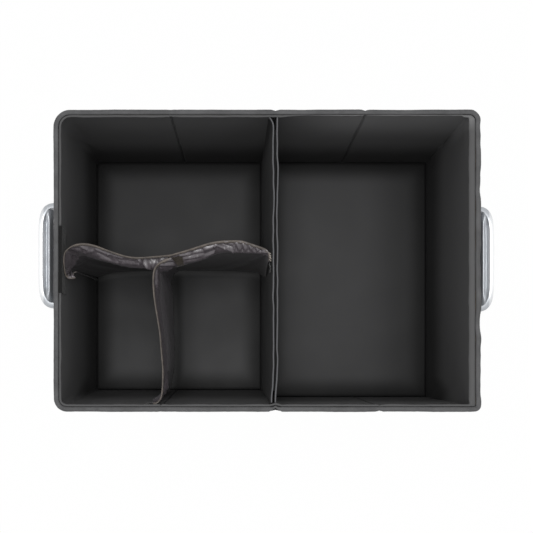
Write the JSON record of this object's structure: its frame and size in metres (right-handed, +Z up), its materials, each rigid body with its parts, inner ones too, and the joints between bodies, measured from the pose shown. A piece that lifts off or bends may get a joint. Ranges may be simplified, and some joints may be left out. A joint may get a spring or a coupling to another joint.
{
  "type": "car trunk organizer",
  "caption": "Open-topped collapsible box of covered boards with a fixed divider, loose cloth dividers held by hook-and-loop, a bound rim and a grip on each end.",
  "frame": {"origin": "centre of the underside, on the surface that the organizer stands on", "axes": "+X along the length to the undivided compartment, +Y to the back wall, +Z up"},
  "size_m": [0.6014, 0.382, 0.26],
  "materials": {
    "cover": "matt woven polyester",
    "binding": "ribbed woven tape",
    "lining": "smooth non-woven with a soft sheen",
    "board": "bare fibreboard",
    "divider_cloth": "shiny creased nylon",
    "edge_tape": "thin woven tape",
    "hook_and_loop": "black pile",
    "grip": "satin silver",
    "steel": "plain zinc"
  },
  "bodies": {
    "root": {"outer_cover": "cover", "bottom_panel": "cover", "rim_binding": "binding", "lining": "lining", "back_board_1": "board", "back_board_2": "board", "back_board_3": "board", "back_board_4": "board", "front_board_1": "board", "front_board_2": "board", "front_board_3": "board", "front_board_4": "board", "left_end_board": "board", "right_end_board": "board", "divider_sleeve": "lining", "divider_board": "lining", "left_base_board": "lining", "right_base_board": "lining", "cross_divider": "divider_cloth", "cross_divider_edge_tape": "edge_tape", "short_divider": "divider_cloth", "short_divider_edge_tape": "edge_tape", "left_wall_loop_strip": "hook_and_loop", "divider_loop_strip": "hook_and_loop", "front_wall_loop_strip": "hook_and_loop", "cross_divider_loop_patch": "hook_and_loop", "cross_left_hook_tape": "hook_and_loop", "cross_right_hook_tape": "hook_and_loop", "short_back_hook_tape": "hook_and_loop", "short_front_hook_tape": "hook_and_loop", "left_grip": "grip", "left_backing_plate": "steel", "left_rivet_1": "steel", "left_rivet_2": "steel", "left_rivet_3": "steel", "left_rivet_4": "steel", "right_grip": "grip", "right_backing_plate": "steel", "right_rivet_1": "steel", "right_rivet_2": "steel", "right_rivet_3": "steel", "right_rivet_4": "steel"}
  },
  "joints": []
}
